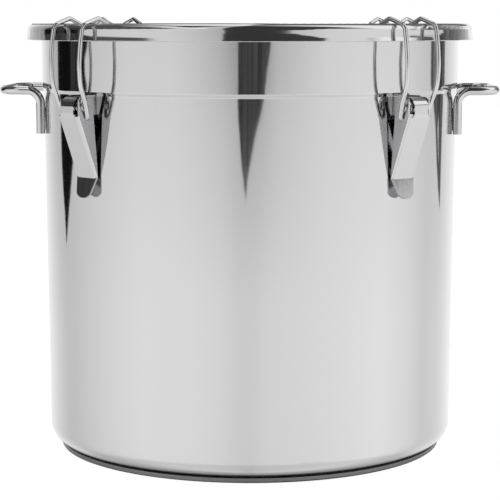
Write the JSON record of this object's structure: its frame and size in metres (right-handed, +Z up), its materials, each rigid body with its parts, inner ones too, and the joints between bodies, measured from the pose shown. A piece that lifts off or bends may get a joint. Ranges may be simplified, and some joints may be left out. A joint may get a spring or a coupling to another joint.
{
  "type": "milk can",
  "caption": "Round polished stainless steel milk can with a sealed lid held by toggle latches, and a bent-rod carrying handle on each side.",
  "frame": {"origin": "centre of the base's underside, on the floor", "axes": "+Z up along the can's axis; +X and -X towards the two handles; -Y towards the front, midway between two latches"},
  "size_m": [0.4224, 0.3798, 0.3667],
  "materials": {
    "can_steel": "mirror-polished stainless steel sheet",
    "lid_steel": "polished pressed stainless steel sheet",
    "base_steel": "satin stainless steel",
    "core_aluminium": "rolled aluminium, bonded between two steel sheets",
    "handle_steel": "polished stainless steel rod",
    "latch_steel": "polished pressed stainless steel strip",
    "pin_steel": "polished stainless steel rivet",
    "wire_steel": "polished spring-hard stainless steel wire",
    "seal_silicone": "translucent white food-grade silicone"
  },
  "bodies": {
    "can": {"can_body": "can_steel", "base_core": "core_aluminium", "base_cap": "base_steel", "handle_right": "handle_steel", "handle_left": "handle_steel", "latch_bracket_front_left": "latch_steel", "latch_bracket_front_right": "latch_steel", "latch_bracket_back_right": "latch_steel", "latch_bracket_back_left": "latch_steel", "latch_pin_front_left": "pin_steel", "latch_pin_front_right": "pin_steel", "latch_pin_back_right": "pin_steel", "latch_pin_back_left": "pin_steel"},
    "lid": {"lid_shell": "lid_steel", "lid_gasket": "seal_silicone"},
    "lever_front_left": {"latch_lever_front_left": "latch_steel"},
    "bail_front_left": {"latch_bail_front_left": "wire_steel"},
    "lever_front_right": {"latch_lever_front_right": "latch_steel"},
    "bail_front_right": {"latch_bail_front_right": "wire_steel"},
    "lever_back_right": {"latch_lever_back_right": "latch_steel"},
    "bail_back_right": {"latch_bail_back_right": "wire_steel"},
    "lever_back_left": {"latch_lever_back_left": "latch_steel"},
    "bail_back_left": {"latch_bail_back_left": "wire_steel"}
  },
  "joints": [
    {"name": "lid_lift", "type": "slide", "parent": "can", "child": "lid", "axis": [0, 0, 1], "range_m": [0, 0.18]},
    {"name": "lever_front_left_swing", "type": "hinge", "parent": "can", "child": "lever_front_left", "pos_m": [-0.13364, -0.13364, 0.2962], "axis": [-0.7071, 0.7071, 0], "range_deg": [0, 150]},
    {"name": "bail_front_left_swing", "type": "hinge", "parent": "lever_front_left", "child": "bail_front_left", "pos_m": [-0.13261, -0.13261, 0.28701], "axis": [0.7071, -0.7071, 0], "range_deg": [0, 165]},
    {"name": "lever_front_right_swing", "type": "hinge", "parent": "can", "child": "lever_front_right", "pos_m": [0.13364, -0.13364, 0.2962], "axis": [-0.7071, -0.7071, 0], "range_deg": [0, 150]},
    {"name": "bail_front_right_swing", "type": "hinge", "parent": "lever_front_right", "child": "bail_front_right", "pos_m": [0.13261, -0.13261, 0.28701], "axis": [0.7071, 0.7071, 0], "range_deg": [0, 165]},
    {"name": "lever_back_right_swing", "type": "hinge", "parent": "can", "child": "lever_back_right", "pos_m": [0.13364, 0.13364, 0.2962], "axis": [0.7071, -0.7071, 0], "range_deg": [0, 150]},
    {"name": "bail_back_right_swing", "type": "hinge", "parent": "lever_back_right", "child": "bail_back_right", "pos_m": [0.13261, 0.13261, 0.28701], "axis": [-0.7071, 0.7071, 0], "range_deg": [0, 165]},
    {"name": "lever_back_left_swing", "type": "hinge", "parent": "can", "child": "lever_back_left", "pos_m": [-0.13364, 0.13364, 0.2962], "axis": [0.7071, 0.7071, 0], "range_deg": [0, 150]},
    {"name": "bail_back_left_swing", "type": "hinge", "parent": "lever_back_left", "child": "bail_back_left", "pos_m": [-0.13261, 0.13261, 0.28701], "axis": [-0.7071, -0.7071, 0], "range_deg": [0, 165]}
  ],
  "couplings": [
    {"joint": "bail_front_left_swing", "follows": "lever_front_left_swing", "ratio": 1.1},
    {"joint": "bail_front_right_swing", "follows": "lever_front_right_swing", "ratio": 1.1},
    {"joint": "bail_back_right_swing", "follows": "lever_back_right_swing", "ratio": 1.1},
    {"joint": "bail_back_left_swing", "follows": "lever_back_left_swing", "ratio": 1.1}
  ]
}
